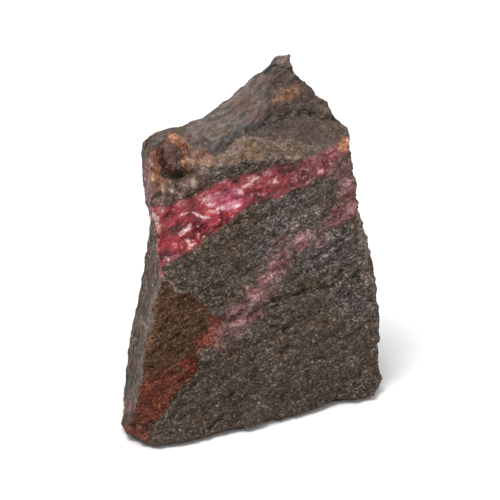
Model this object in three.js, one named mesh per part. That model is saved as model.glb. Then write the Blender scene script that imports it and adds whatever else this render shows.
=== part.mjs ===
// Rhodonite rough: one broken lump of grey-brown rock with a crimson vein across its front.
// Millimetres, +Z up, the veined front faces -Y, the lump rests on the flat underside.
import * as THREE from 'three';

// Edge lengths of the surface net on each kind of face
const veinEdge = 1.25;
const frontEdge = 1.55;
const roofEdge = 1.5;
const sideEdge = 1.9;
const backEdge = 2.35;
const baseEdge = 4.2;

// Height of the lowest broken edge, and how far the flat underside lies inside it
const footHeight = 1.5;
const underCut = 1.6;

// Depths of the relief
const waveDepth = 0.5;
const stepDepth = 0.5;
const stepSpacing = 3.4;
const facetDepth = 0.3;
const chipDepth = 0.6;
const ledgeDepth = 0.9;
const ridgeHeight = 0.5;
const veinDepth = 0.7;
const nookDepth = 2.4;
const backDepth = 1.1;

// Single lumps (positive height) and pits: where, how far across, how high
const lumps = [
  { at: [10.4, -4.0, 35.9], across: 3.6, height: 0.9 },
  { at: [12.6, -3.8, 36.2], across: 1.9, height: -1.0 },
  { at: [-15.0, -9.2, 14.1], across: 2.6, height: -0.9 },
  { at: [-16.7, -1.7, 55.6], across: 4.4, height: 1.5 },
  { at: [-15.5, -3.4, 50.9], across: 2.6, height: -0.9 },
  { at: [-16.2, -3.8, 49.0], across: 3.0, height: 0.7 },
  { at: [-12.3, -4.6, 42.1], across: 3.4, height: -0.8 },
  { at: [19.6, -5.3, 23.9], across: 4.2, height: -0.9 },
  { at: [1.5, -5.8, 28.7], across: 3.0, height: 0.6 },
];

// Where three or more broken faces meet
const corners = {
  footTip: [-29.5, -8.9, 1.5],
  footNotch: [-27.7, -12.6, 1.5],
  footRight: [23.3, -10.3, 1.5],
  footRightBack: [24.5, 15.5, 1.5],
  footBack: [8.0, 25.0, 1.5],
  footLeftBack: [-22.6, 12.0, 1.5],
  rustCorner: [-21.0, -6.8, 32.0],
  rustMeet: [-8.8, -7.8, 22.1],
  veinLeftLow: [-20.7, -6.4, 34.8],
  veinLeftTop: [-21.9, -4.4, 47.6],
  veinRoof: [-10.4, -2.3, 48.2],
  veinRight: [16.3, -1.7, 48.0],
  lipPeak: [-7.9, -3.0, 51.5],
  lipRight: [12.6, -0.9, 50.8],
  hipRight: [26.0, -5.2, 18.5],
  ledgeRight: [22.7, -4.6, 26.9],
  sideRight: [21.8, -1.8, 41.6],
  shoulderRight: [22.6, 4.0, 52.2],
  shoulderPeak: [0.8, 4.0, 55.3],
  topFrontLeft: [-20.7, -2.4, 59.4],
  nookEdge: [-13.2, -1.6, 55.5],
  nookRim: [-13.0, 0.0, 58.0],
  ridgeLeft: [-19.8, 3.0, 59.5],
  ridgeScoop: [-11.3, 7.0, 59.0],
  grooveHead: [5.2, 8.0, 57.0],
  grooveRight: [20.8, 8.8, 56.3],
  ridgeRight: [23.5, 7.0, 53.5],
  peak: [13.4, 13.0, 68.6],
  leftBack: [-19.5, 9.5, 27.9],
  rightBack: [26.4, 15.0, 25.0],
  backSpine: [6.5, 25.5, 30.0],
};

// Broken edges between the corners: start, points between, end
const edges = {
  frontLeftLow: ['footTip', [-29.1, -11.5, 6.2], [-27.4, -10.8, 9.5], [-26.2, -9.9, 15.1],
    [-24.8, -9.0, 19.7], [-22.5, -8.1, 24.6], [-21.3, -7.3, 28.8], 'rustCorner'],
  frontLeftMid: ['rustCorner', 'veinLeftLow'],
  frontLeftVein: ['veinLeftLow', [-21.0, -5.4, 40.7], [-22.0, -4.9, 44.6], 'veinLeftTop'],
  frontLeftTop: ['veinLeftTop', [-21.5, -3.5, 52.9], [-21.2, -2.8, 57.1], 'topFrontLeft'],
  rustTop: ['rustCorner', [-17.6, -6.6, 30.5], [-14.5, -6.6, 29.1], [-10.9, -7.0, 26.5], 'rustMeet'],
  rustSide: ['rustMeet', [-10.9, -9.1, 18.6], [-14.1, -9.9, 17.3], [-15.0, -9.9, 13.5],
    [-19.1, -10.8, 9.8], [-22.4, -11.6, 6.6], 'footNotch'],
  ledge: ['rustMeet', [-4.9, -7.6, 22.2], [0.1, -6.8, 24.6], [6.2, -6.4, 24.5], [12.4, -5.8, 25.1],
    [18.6, -5.0, 27.3], 'ledgeRight'],
  veinLow: ['veinLeftLow', [-18.8, -6.0, 36.1], [-16.0, -5.8, 36.4], [-13.4, -5.4, 37.3],
    [-10.8, -5.0, 38.7], [-7.9, -4.6, 40.2], [-4.4, -4.1, 42.0], [-0.9, -3.8, 43.7],
    [1.7, -3.4, 45.2], [7.0, -2.8, 46.0], [11.0, -2.3, 46.7], 'veinRight'],
  veinTopLeft: ['veinLeftTop', [-19.2, -3.9, 47.1], [-16.7, -3.1, 47.6], [-13.5, -2.8, 47.4], 'veinRoof'],
  veinTopRight: ['veinRoof', [-5.3, -2.0, 49.0], [-1.4, -1.5, 49.7], [2.7, -1.2, 50.0],
    [6.5, -1.1, 50.3], [10.2, -1.0, 50.4], 'lipRight'],
  veinEnd: ['lipRight', [15.3, -0.8, 50.6], 'veinRight'],
  lipLeft: ['veinRoof', [-8.9, -2.8, 50.2], 'lipPeak'],
  lip: ['lipPeak', [-4.7, -2.6, 52.8], [-1.6, -2.2, 53.0], [1.8, -1.9, 52.6], [6.9, -1.3, 52.0], 'lipRight'],
  veinToShoulder: ['veinRight', [19.2, -0.3, 50.3], 'shoulderRight'],
  shoulderTop: ['shoulderPeak', [4.1, 4.3, 54.5], [8.6, 4.3, 53.5], [12.5, 3.5, 52.1],
    [17.4, 4.0, 52.3], 'shoulderRight'],
  shoulderCrease: ['lipPeak', [-3.9, -0.3, 54.1], 'shoulderPeak'],
  valleyLow: ['nookEdge', [-8.9, 0.2, 54.8], [-5.7, 1.5, 55.1], [-2.5, 2.8, 55.3], 'shoulderPeak'],
  valleyHigh: ['shoulderPeak', [3.2, 6.0, 55.9], 'grooveHead'],
  nookRight: ['veinRoof', [-12.2, -3.3, 52.0], 'nookEdge'],
  nookCorner: ['nookEdge', 'nookRim'],
  nookTop: ['nookRim', [-15.0, -0.6, 59.5], [-18.3, -1.2, 59.9], 'topFrontLeft'],
  scoopLeft: ['nookRim', [-12.4, 3.4, 58.4], 'ridgeScoop'],
  topLeft: ['topFrontLeft', 'ridgeLeft'],
  ridgeBlock: ['ridgeLeft', [-16.9, 4.8, 59.1], [-14.3, 6.0, 59.1], 'ridgeScoop'],
  ridgeLong: ['ridgeScoop', [-9.3, 8.0, 59.2], [-6.8, 8.5, 59.2], [-3.9, 9.5, 60.6],
    [-0.4, 10.5, 62.4], [3.6, 11.5, 64.4], [7.0, 12.3, 66.0], [10.3, 13.0, 68.0], 'peak'],
  hornCrease: ['grooveHead', [6.4, 9.5, 60.4], [8.4, 11.0, 63.6], [9.9, 12.0, 65.8], 'peak'],
  groove: ['grooveHead', [8.5, 8.8, 57.0], [11.9, 9.3, 57.3], [15.1, 9.3, 57.4],
    [18.3, 9.0, 56.8], 'grooveRight'],
  ridgeHorn: ['peak', [13.5, 12.5, 66.7], [13.8, 12.0, 64.6], [15.5, 11.5, 62.9],
    [17.1, 11.0, 61.3], [18.2, 10.5, 59.5], [20.1, 9.8, 58.5], 'grooveRight'],
  ridgeDown: ['grooveRight', [22.5, 8.0, 54.3], 'ridgeRight'],
  ridgeFront: ['ridgeRight', 'shoulderRight'],
  rightTop: ['shoulderRight', [22.2, 2.0, 50.7], [22.2, 0.0, 47.1], [22.3, -1.5, 43.2], 'sideRight'],
  rightCreaseHigh: ['ledgeRight', [22.2, -3.8, 32.2], [21.8, -3.0, 37.5], 'sideRight'],
  rightCreaseLow: ['hipRight', [24.2, -4.9, 22.3], 'ledgeRight'],
  rightStrip: ['hipRight', [26.9, -2.2, 21.1], [26.4, -0.4, 26.2], [25.1, -0.1, 31.7],
    [23.3, -0.9, 36.8], 'sideRight'],
  rightLow: ['footRight', [26.3, -6.6, 2.8], [25.6, -6.6, 9.9], [26.4, -5.7, 15.0], 'hipRight'],
  leftHigh: ['ridgeLeft', [-20.6, 4.0, 57.5], [-20.8, 4.5, 54.2], [-20.3, 6.0, 48.8],
    [-19.7, 7.0, 43.4], [-18.4, 7.0, 39.7], [-18.8, 8.5, 34.5], 'leftBack'],
  leftLow: ['leftBack', [-20.2, 10.5, 21.3], [-21.5, 11.0, 15.4], [-22.6, 11.0, 8.7], 'footLeftBack'],
  rightBackHigh: ['ridgeRight', [25.4, 11.0, 46.5], [26.0, 13.5, 37.0], 'rightBack'],
  rightBackLow: ['rightBack', [26.0, 16.0, 12.0], 'footRightBack'],
  spineHigh: ['peak', [12.4, 17.6, 63.5], [10.5, 20.8, 54.5], [8.0, 23.0, 43.0], 'backSpine'],
  spineLow: ['backSpine', [7.5, 24.6, 21.0], [6.5, 25.6, 11.0], 'footBack'],
  backStepLeft: ['backSpine', [0.5, 23.6, 34.0], [-5.0, 20.6, 32.5], [-11.0, 17.4, 36.0],
    [-16.0, 13.2, 31.0], 'leftBack'],
  backStepRight: ['backSpine', [12.5, 23.2, 24.5], [19.5, 19.6, 28.5], 'rightBack'],
  footCut: ['footTip', 'footNotch'],
  footFront: ['footNotch', [-24.1, -14.3, 1.5], [-19.7, -15.5, 1.5], [-15.0, -15.2, 1.5],
    [-9.7, -13.9, 1.5], [-4.7, -14.2, 1.5], [0.7, -12.7, 1.5], [5.6, -12.9, 1.5],
    [11.0, -11.3, 1.5], [15.2, -9.6, 1.5], [19.0, -10.6, 1.5], 'footRight'],
  footRightSide: ['footRight', [26.6, -6.0, 1.5], [27.2, 4.0, 1.5], 'footRightBack'],
  footBackRight: ['footRightBack', [20.5, 20.0, 1.5], [14.0, 22.6, 1.5], 'footBack'],
  footBackLeft: ['footBack', [1.0, 24.8, 1.5], [-6.5, 21.6, 1.5], [-14.5, 18.4, 1.5], 'footLeftBack'],
  footLeftSide: ['footLeftBack', [-24.8, 7.2, 1.5], [-26.6, 1.5, 1.5], [-29.3, -5.1, 1.5], 'footTip'],
};

// Broken faces: the edges round each one, anticlockwise from outside; a minus runs the edge backwards
const faces = {
  rust: { size: frontEdge, round: ['footCut', '-rustSide', '-rustTop', '-frontLeftLow'] },
  lowerBlock: { size: frontEdge,
    round: ['footFront', 'rightLow', 'rightCreaseLow', '-ledge', 'rustSide'] },
  midBlock: { size: frontEdge,
    round: ['rustTop', 'ledge', 'rightCreaseHigh', '-rightTop', '-veinToShoulder', '-veinLow',
      '-frontLeftMid'] },
  rightStrip: { size: sideEdge, round: ['rightStrip', '-rightCreaseHigh', '-rightCreaseLow'] },
  vein: { size: veinEdge,
    round: ['veinLow', '-veinEnd', '-veinTopRight', '-veinTopLeft', '-frontLeftVein'] },
  underLip: { size: veinEdge, round: ['veinTopRight', '-lip', '-lipLeft'] },
  shoulder: { size: veinEdge,
    round: ['lip', 'veinEnd', 'veinToShoulder', '-shoulderTop', '-shoulderCrease'] },
  shoulderLeft: { size: veinEdge, round: ['lipLeft', 'shoulderCrease', '-valleyLow', '-nookRight'] },
  nook: { size: veinEdge,
    round: ['veinTopLeft', 'nookRight', 'nookCorner', 'nookTop', '-frontLeftTop'] },
  scoop: { size: roofEdge,
    round: ['valleyLow', 'valleyHigh', 'hornCrease', '-ridgeLong', '-scoopLeft', '-nookCorner'] },
  topBlock: { size: roofEdge, round: ['-nookTop', 'scoopLeft', '-ridgeBlock', '-topLeft'] },
  horn: { size: roofEdge, round: ['groove', '-ridgeHorn', '-hornCrease'] },
  saddle: { size: roofEdge,
    round: ['shoulderTop', '-ridgeFront', '-ridgeDown', '-groove', '-valleyHigh'] },
  left: { size: sideEdge,
    round: ['frontLeftLow', 'frontLeftMid', 'frontLeftVein', 'frontLeftTop', 'topLeft', 'leftHigh',
      'leftLow', 'footLeftSide'] },
  right: { size: sideEdge,
    round: ['footRightSide', '-rightBackLow', '-rightBackHigh', 'ridgeFront', 'rightTop',
      '-rightStrip', '-rightLow'] },
  backHighLeft: { size: backEdge,
    round: ['ridgeBlock', 'ridgeLong', 'spineHigh', 'backStepLeft', '-leftHigh'] },
  backLowLeft: { size: backEdge, round: ['-backStepLeft', 'spineLow', 'footBackLeft', '-leftLow'] },
  backHighRight: { size: backEdge,
    round: ['ridgeHorn', 'ridgeDown', 'rightBackHigh', '-backStepRight', '-spineHigh'] },
  backLowRight: { size: backEdge, round: ['backStepRight', 'rightBackLow', 'footBackRight', '-spineLow'] },
};
const footRound = ['footFront', 'footRightSide', 'footBackRight', 'footBackLeft', 'footLeftSide', 'footCut'];

// The surface: points, and triangles that carry the name of their face
const points = [];
const triangles = [];
const pointNumbers = new Map();

function addPoint(x, y, z) {
  points.push(new THREE.Vector3(x, y, z));
  return points.length - 1;
}

function sharedPoint(place) {
  const [x, y, z] = typeof place === 'string' ? corners[place] : place;
  const key = [x, y, z].join(' ');
  if (!pointNumbers.has(key)) pointNumbers.set(key, addPoint(x, y, z));
  return pointNumbers.get(key);
}

function loopOf(names) {
  const loop = [];
  for (const name of names) {
    const backwards = name.startsWith('-');
    const places = edges[backwards ? name.slice(1) : name].map(sharedPoint);
    if (backwards) places.reverse();
    if (loop.length > 0 && loop[loop.length - 1] !== places[0]) throw new Error('open loop at ' + name);
    loop.push(...places.slice(loop.length > 0 ? 1 : 0));
  }
  if (loop[0] !== loop[loop.length - 1]) throw new Error('open loop ' + names.join(' '));
  loop.pop();
  return loop;
}

function loopNormal(loop) {
  const normal = new THREE.Vector3();
  for (let i = 0; i < loop.length; i++) {
    const a = points[loop[i]];
    const b = points[loop[(i + 1) % loop.length]];
    normal.add(new THREE.Vector3().crossVectors(a, b));
  }
  return normal.normalize();
}

// Fill a loop of points with triangles, seen flat along its mean normal
function fillLoop(loop, face) {
  const normal = loopNormal(loop);
  const across = new THREE.Vector3(0, 0, 1).cross(normal);
  if (across.length() < 0.1) across.set(1, 0, 0);
  across.normalize();
  const along = new THREE.Vector3().crossVectors(normal, across);
  const flat = loop.map((n) => new THREE.Vector2(points[n].dot(across), points[n].dot(along)));
  for (const [a, b, c] of THREE.ShapeUtils.triangulateShape(flat, [])) {
    triangles.push({ corner: [loop[a], loop[b], loop[c]], face });
  }
}

// The flat underside, inside the foot edge, and the narrow chamfer between them
function fillFoot() {
  const foot = loopOf(footRound);
  const count = foot.length;
  const inner = foot.map((n, i) => {
    const before = points[foot[(i + count - 1) % count]];
    const after = points[foot[(i + 1) % count]];
    const inward = new THREE.Vector3(before.y - after.y, after.x - before.x, 0).normalize();
    return addPoint(points[n].x + inward.x * underCut, points[n].y + inward.y * underCut, 0);
  });
  for (let i = 0; i < count; i++) {
    const j = (i + 1) % count;
    triangles.push({ corner: [foot[i], inner[j], foot[j]], face: 'chamfer' });
    triangles.push({ corner: [foot[i], inner[i], inner[j]], face: 'chamfer' });
  }
  fillLoop(inner.slice().reverse(), 'base');
}

function faceSize(face) {
  if (face === 'chamfer') return sideEdge;
  if (face === 'base') return baseEdge;
  return faces[face].size;
}

function edgeKey(a, b, face) {
  return Math.min(a, b) + ' ' + Math.max(a, b) + ' ' + face;
}

// Every net edge with the triangles on its two sides, listed under each face that it belongs to
function netEdges() {
  const found = new Map();
  triangles.forEach(({ corner, face }, number) => {
    corner.forEach((a, i) => {
      const b = corner[(i + 1) % 3];
      const key = edgeKey(a, b, face);
      if (!found.has(key)) found.set(key, { a, b, sides: [] });
      found.get(key).sides.push(number);
    });
  });
  const borders = new Map();
  for (const [key, edge] of found) {
    if (edge.sides.length === 2) continue;
    const pair = edgeKey(edge.a, edge.b, '');
    if (borders.has(pair)) {
      borders.get(pair).sides.push(...edge.sides);
      found.set(key, borders.get(pair));
    } else {
      borders.set(pair, edge);
    }
  }
  return found;
}

// Halve every edge that is longer than its face allows
function splitLong(scale) {
  const found = netEdges();
  for (const edge of new Set(found.values())) {
    const allowed = Math.min(...edge.sides.map((n) => faceSize(triangles[n].face))) * scale;
    const a = points[edge.a];
    const b = points[edge.b];
    if (a.distanceTo(b) > allowed * 1.35) {
      edge.middle = addPoint((a.x + b.x) / 2, (a.y + b.y) / 2, (a.z + b.z) / 2);
    }
  }
  const old = triangles.splice(0);
  for (const { corner, face } of old) {
    const half = corner.map((n, i) => found.get(edgeKey(n, corner[(i + 1) % 3], face)).middle);
    const cuts = half.filter((n) => n !== undefined).length;
    const add = (...list) => triangles.push({ corner: list, face });
    if (cuts === 0) {
      add(...corner);
    } else if (cuts === 3) {
      add(corner[0], half[0], half[2]);
      add(half[0], corner[1], half[1]);
      add(half[2], half[1], corner[2]);
      add(half[0], half[1], half[2]);
    } else if (cuts === 1) {
      const i = half.findIndex((n) => n !== undefined);
      add(corner[i], half[i], corner[(i + 2) % 3]);
      add(half[i], corner[(i + 1) % 3], corner[(i + 2) % 3]);
    } else {
      const i = half.findIndex((n) => n === undefined);
      const [p, q, r] = [corner[i], corner[(i + 1) % 3], corner[(i + 2) % 3]];
      const [qr, rp] = [half[(i + 1) % 3], half[(i + 2) % 3]];
      add(qr, r, rp);
      if (points[p].distanceTo(points[qr]) < points[q].distanceTo(points[rp])) {
        add(p, q, qr);
        add(p, qr, rp);
      } else {
        add(p, q, rp);
        add(q, qr, rp);
      }
    }
  }
}

function triangleNormal(a, b, c) {
  const ab = new THREE.Vector3().subVectors(points[b], points[a]);
  const ac = new THREE.Vector3().subVectors(points[c], points[a]);
  return ab.cross(ac);
}

function angleAt(n, a, b) {
  const toA = new THREE.Vector3().subVectors(points[a], points[n]);
  const toB = new THREE.Vector3().subVectors(points[b], points[n]);
  return toA.angleTo(toB);
}

// Swap the shared edge of two triangles where that gives better shaped ones
function swapEdges() {
  const found = netEdges();
  const touched = new Set();
  let swaps = 0;
  for (const { a, b, sides } of [...found.values()]) {
    const [left, right] = sides.map((n) => triangles[n]);
    if (left.face !== right.face || touched.has(sides[0]) || touched.has(sides[1])) continue;
    const p = left.corner.find((n) => n !== a && n !== b);
    const q = right.corner.find((n) => n !== a && n !== b);
    const swapped = edgeKey(p, q, left.face);
    if (found.has(swapped) || angleAt(p, a, b) + angleAt(q, a, b) < Math.PI + 0.02) continue;
    const at = left.corner.indexOf(p);
    const [from, to] = [left.corner[(at + 1) % 3], left.corner[(at + 2) % 3]];
    const first = triangleNormal(p, from, q);
    const second = triangleNormal(q, to, p);
    const before = triangleNormal(...left.corner).add(triangleNormal(...right.corner));
    if (first.dot(before) <= 0 || second.dot(before) <= 0) continue;
    left.corner = [p, from, q];
    right.corner = [q, to, p];
    found.set(swapped, {});
    touched.add(sides[0]).add(sides[1]);
    swaps++;
  }
  return swaps;
}

// Points on a broken edge keep their place; the others can slide
function fixedPoints() {
  const faceOf = new Map();
  const fixed = new Set();
  for (const { corner, face } of triangles) {
    for (const n of corner) {
      if (faceOf.has(n) && faceOf.get(n) !== face) fixed.add(n);
      faceOf.set(n, face);
    }
  }
  return fixed;
}

function neighbourLists() {
  const lists = points.map(() => new Set());
  for (const { corner } of triangles) {
    for (let i = 0; i < 3; i++) {
      lists[corner[i]].add(corner[(i + 1) % 3]).add(corner[(i + 2) % 3]);
    }
  }
  return lists;
}

// Draw each free point towards the middle of its neighbours
function relax(rounds) {
  const fixed = fixedPoints();
  const near = neighbourLists();
  for (let round = 0; round < rounds; round++) {
    const moved = points.map((point, n) => {
      if (fixed.has(n) || near[n].size === 0) return point;
      const middle = new THREE.Vector3();
      for (const other of near[n]) middle.add(points[other]);
      return middle.divideScalar(near[n].size).lerp(point, 0.35);
    });
    moved.forEach((point, n) => points[n].copy(point));
  }
}

function buildNet() {
  for (const [face, { round }] of Object.entries(faces)) fillLoop(loopOf(round), face);
  fillFoot();
  for (const scale of [6, 4, 3, 2, 1.4, 1, 1]) {
    splitLong(scale);
    for (let i = 0; i < 12 && swapEdges() > 0; i++);
    relax(6);
    for (let i = 0; i < 12 && swapEdges() > 0; i++);
  }
  relax(4);
}

// Repeatable noise from a point in space, between -1 and 1
function hash(x, y, z) {
  let n = Math.imul(x, 374761393) ^ Math.imul(y, 668265263) ^ Math.imul(z, 1274126177);
  n = Math.imul(n ^ (n >>> 13), 1103515245);
  return ((n ^ (n >>> 16)) >>> 0) / 4294967295;
}

function noise(point, length, shift) {
  const at = point.clone().divideScalar(length).addScalar(shift);
  const cell = at.clone().floor();
  const part = at.clone().sub(cell);
  const ease = (t) => t * t * (3 - 2 * t);
  let sum = 0;
  for (let i = 0; i < 8; i++) {
    const [dx, dy, dz] = [i & 1, (i >> 1) & 1, i >> 2];
    const weight = (dx ? ease(part.x) : 1 - ease(part.x)) * (dy ? ease(part.y) : 1 - ease(part.y)) *
      (dz ? ease(part.z) : 1 - ease(part.z));
    sum += weight * hash(cell.x + dx, cell.y + dy, cell.z + dz);
  }
  return sum * 2 - 1;
}

// Small flat facets, each tilted its own way, as broken crystals show them
function facets(point, length, shift) {
  const at = point.clone().divideScalar(length).addScalar(shift);
  const cell = at.clone().floor();
  let nearest = Infinity;
  let height = 0;
  for (let dx = -1; dx <= 1; dx++) {
    for (let dy = -1; dy <= 1; dy++) {
      for (let dz = -1; dz <= 1; dz++) {
        const [x, y, z] = [cell.x + dx, cell.y + dy, cell.z + dz];
        const seed = new THREE.Vector3(x + hash(x, y, z), y + hash(y, z, x + 7), z + hash(z, x, y + 3));
        const offset = at.clone().sub(seed);
        const distance = offset.lengthSq();
        if (distance < nearest) {
          nearest = distance;
          const tilt = new THREE.Vector3(hash(x, z, y) - 0.5, hash(y, x, z) - 0.5, hash(z, y, x) - 0.5);
          height = hash(x + 5, y, z) - 0.5 + offset.dot(tilt) * 1.6;
        }
      }
    }
  }
  return height;
}

function stepUp(low, high, value) {
  return THREE.MathUtils.smoothstep(value, low, high);
}

// Distance from a point to a broken edge
function edgeDistance(point, name) {
  const places = edges[name].map((place) => points[sharedPoint(place)]);
  let nearest = Infinity;
  for (let i = 0; i + 1 < places.length; i++) {
    const line = new THREE.Line3(places[i], places[i + 1]);
    nearest = Math.min(nearest, line.closestPointToPoint(point, true, new THREE.Vector3()).distanceTo(point));
  }
  return nearest;
}

// The stone splits in thin sheets: saw-tooth steps across this direction
const sheetNormal = new THREE.Vector3(-0.42, 0.25, 0.87).normalize();

function sheetSteps(point) {
  const height = point.dot(sheetNormal) + noise(point, 9, 3) * 1.6;
  const part = height / stepSpacing - Math.floor(height / stepSpacing);
  const strength = 0.5 + 0.5 * noise(point, 8, 11);
  return (part - 0.5) * strength;
}

function edgeDistances(point, names) {
  return Math.min(...names.map((name) => edgeDistance(point, name)));
}

function lumpHeight(point) {
  let sum = 0;
  for (const { at, across, height } of lumps) {
    const away = point.distanceTo(new THREE.Vector3(...at)) / (across / 2);
    sum += height * Math.exp(-away * away);
  }
  return sum;
}

// How far the surface stands out from the plain face at a point
function relief(point, face) {
  if (face === 'base' || face === 'chamfer') return 0;
  const wave = noise(point, 11, 0) * 0.6 + noise(point, 5, 20) * 0.4;
  const lump = lumpHeight(point);
  if (face === 'vein') {
    const inside = edgeDistances(point, ['veinLow', 'veinTopLeft', 'veinTopRight', 'veinEnd']);
    return lump + facets(point, 3.2, 1) * 0.65 - veinDepth * stepUp(0, 2.2, inside);
  }
  if (face === 'nook') {
    const inside = edgeDistances(point, ['nookTop', 'nookCorner', 'nookRight', 'frontLeftTop']);
    return lump + facets(point, 2.6, 4) * 0.6 -
      nookDepth * stepUp(0.3, 3, inside) * stepUp(50, 53, point.z);
  }
  if (face === 'scoop') return wave * 0.35 + noise(point, 3, 8) * 0.15;
  let out = lump + wave * waveDepth + facets(point, 4.5, 9) * facetDepth + sheetSteps(point) * stepDepth;
  if (face === 'lowerBlock') {
    const strength = 0.55 + 0.6 * noise(point, 7, 60);
    out += ledgeDepth * strength * (1 - stepUp(0.8, 7, edgeDistance(point, 'ledge')));
  }
  if (face === 'rust' || face === 'lowerBlock') {
    out += ridgeHeight * (1 - stepUp(0, 2.4, edgeDistance(point, 'rustSide')));
  }
  if (face.startsWith('back') || face === 'right') {
    out += (noise(point, 15, 30) + facets(point, 11, 70)) * backDepth;
  }
  return out;
}

// Push the free points out or in, and wear the broken edges unevenly
function roughen() {
  const fixed = fixedPoints();
  const normals = points.map(() => new THREE.Vector3());
  const faceOf = new Map();
  for (const { corner, face } of triangles) {
    const normal = triangleNormal(...corner);
    for (const n of corner) {
      normals[n].add(normal);
      faceOf.set(n, face);
    }
  }
  const moves = points.map((point, n) => {
    const normal = normals[n].normalize();
    if (point.z < footHeight + 0.3) return new THREE.Vector3();
    if (!fixed.has(n)) return normal.clone().multiplyScalar(relief(point, faceOf.get(n)));
    const chip = Math.max(0, noise(point, 3.2, 40) - 0.15) * chipDepth;
    return normal.clone().multiplyScalar(noise(point, 2.4, 50) * 0.22 - chip);
  });
  moves.forEach((move, n) => points[n].add(move));
}

function stoneGeometry() {
  const box = new THREE.Box3();
  const used = new Set(triangles.flatMap(({ corner }) => corner));
  for (const n of used) box.expandByPoint(points[n]);
  const middle = box.getCenter(new THREE.Vector3());
  const order = [...used];
  const place = new Map(order.map((n, i) => [n, i]));
  const positions = order.flatMap((n) => [points[n].x - middle.x, points[n].y - middle.y, points[n].z]);
  const geometry = new THREE.BufferGeometry();
  geometry.setAttribute('position', new THREE.Float32BufferAttribute(positions, 3));
  geometry.setIndex(triangles.flatMap(({ corner }) => corner.map((n) => place.get(n))));
  geometry.computeVertexNormals();
  return geometry;
}

buildNet();
roughen();

const stone = new THREE.MeshStandardMaterial({ color: 0x5a544b, roughness: 0.85, metalness: 0 });
const rough = new THREE.Mesh(stoneGeometry(), stone);
rough.name = 'rough';

const rhodonite = new THREE.Group();
rhodonite.add(rough);
export default rhodonite;
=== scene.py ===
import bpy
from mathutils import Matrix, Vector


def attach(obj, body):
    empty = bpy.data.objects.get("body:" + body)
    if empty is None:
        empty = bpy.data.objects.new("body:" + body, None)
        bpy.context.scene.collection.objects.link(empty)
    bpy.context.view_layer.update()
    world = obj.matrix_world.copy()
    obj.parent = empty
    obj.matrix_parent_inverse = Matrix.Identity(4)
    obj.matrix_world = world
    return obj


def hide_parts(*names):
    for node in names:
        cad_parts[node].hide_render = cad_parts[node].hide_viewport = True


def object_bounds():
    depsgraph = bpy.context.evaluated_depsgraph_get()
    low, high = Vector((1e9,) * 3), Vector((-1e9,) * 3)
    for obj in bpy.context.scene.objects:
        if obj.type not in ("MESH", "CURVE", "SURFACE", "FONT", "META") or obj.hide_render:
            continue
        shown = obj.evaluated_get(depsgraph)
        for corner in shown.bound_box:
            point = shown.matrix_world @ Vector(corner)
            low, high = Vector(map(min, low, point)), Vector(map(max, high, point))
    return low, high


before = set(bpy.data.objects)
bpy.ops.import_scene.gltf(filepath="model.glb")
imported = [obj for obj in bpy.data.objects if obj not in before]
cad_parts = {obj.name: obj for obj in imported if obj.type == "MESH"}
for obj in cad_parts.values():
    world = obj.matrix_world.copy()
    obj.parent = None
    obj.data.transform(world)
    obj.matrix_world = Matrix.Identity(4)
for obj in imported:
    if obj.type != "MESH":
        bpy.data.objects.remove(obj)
cad_box = [list(corner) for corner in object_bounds()]

import math

import bpy
import numpy as np
from mathutils import Vector

# Lengths are millimetres until the mesh is made; Blender's own are metres.
MM = 0.001

# The eye that the photograph was taken from, and the spot on the stone that it looks at
EYE_AZIMUTH = math.radians(-20.0)
EYE_ELEVATION = math.radians(25.0)
EYE_DISTANCE = 500.0
EYE_TARGET = np.array([0.96, -5.01, 33.0])
LENS_MM = 180.0
SENSOR_MM = 36.0

# Longest net edge where the eye sees the stone, in the vein, on the far side and on the underside
SEEN_EDGE = 0.3
VEIN_EDGE = 0.26
HIDDEN_EDGE = 0.7
BASE_EDGE = 2.0

# An edge is halved when it's this many times its limit, in at most so many rounds. After the rounds
# listed last, counted from 0, the net is rounded off
SPLIT_OVER = 1.35
SPLIT_ROUNDS = 6
ROUNDED_IN = (1, 2)

# Rounds of smoothing that leave only the broad form, and the heights that count as the underside
BROAD_ROUNDS = 25
FLAT_BELOW = 0.02
BASE_BELOW = 0.05

# Ways that the rock splits: along the sheets, and the way that the sheets are stacked
SHEET_ALONG = (0.917, -0.151, 0.369)
SHEET_STACK = (-0.38, -0.1, 0.92)
SWEPT_ALONG = (0.83, -0.03, 0.55)
SWEPT_STACK = (-0.55, 0.0, 0.83)

# Heights and depths of the relief
LUMP_HEIGHT = 0.35
STREAK_HEIGHT = 0.22
PLATE_HEIGHT = 0.6
STEP_HEIGHT = 0.4
FOLD_HEIGHT = 0.3
STEP_SPACING = 3.1
CHIP_HEIGHT = 0.25
GRAIN_HEIGHT = 0.1
EDGE_CHIP = 1.0
CRYSTAL_HEIGHT = 0.45
GROOVE_DEPTH = 0.5
BUMP_DEPTH = 0.14
BUMP_STRENGTH = 0.75

# Depth and length of the creases on the sides that the eye doesn't see
FAR_CREASE_DEPTH = 1.7
FAR_CREASE_LENGTH = 13.0

# The vein on the sides that the eye doesn't see: its height, its rise along X and half its width
FAR_VEIN_HEIGHT = 42.0
FAR_VEIN_RISE = 0.4
FAR_VEIN_HALF = 1.9

# Studio, in metres: the floor and how white it is, the sky's strength, and each lamp's name, place,
# width and watts
FLOOR_SIZE = 4.0
FLOOR_WHITE = 0.93
SKY_STRENGTH = 0.62
LAMPS = [("key", (-0.3, -0.14, 0.83), 0.4, 5.2), ("top", (0.25, 0.1, 0.8), 0.8, 1.8)]

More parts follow.
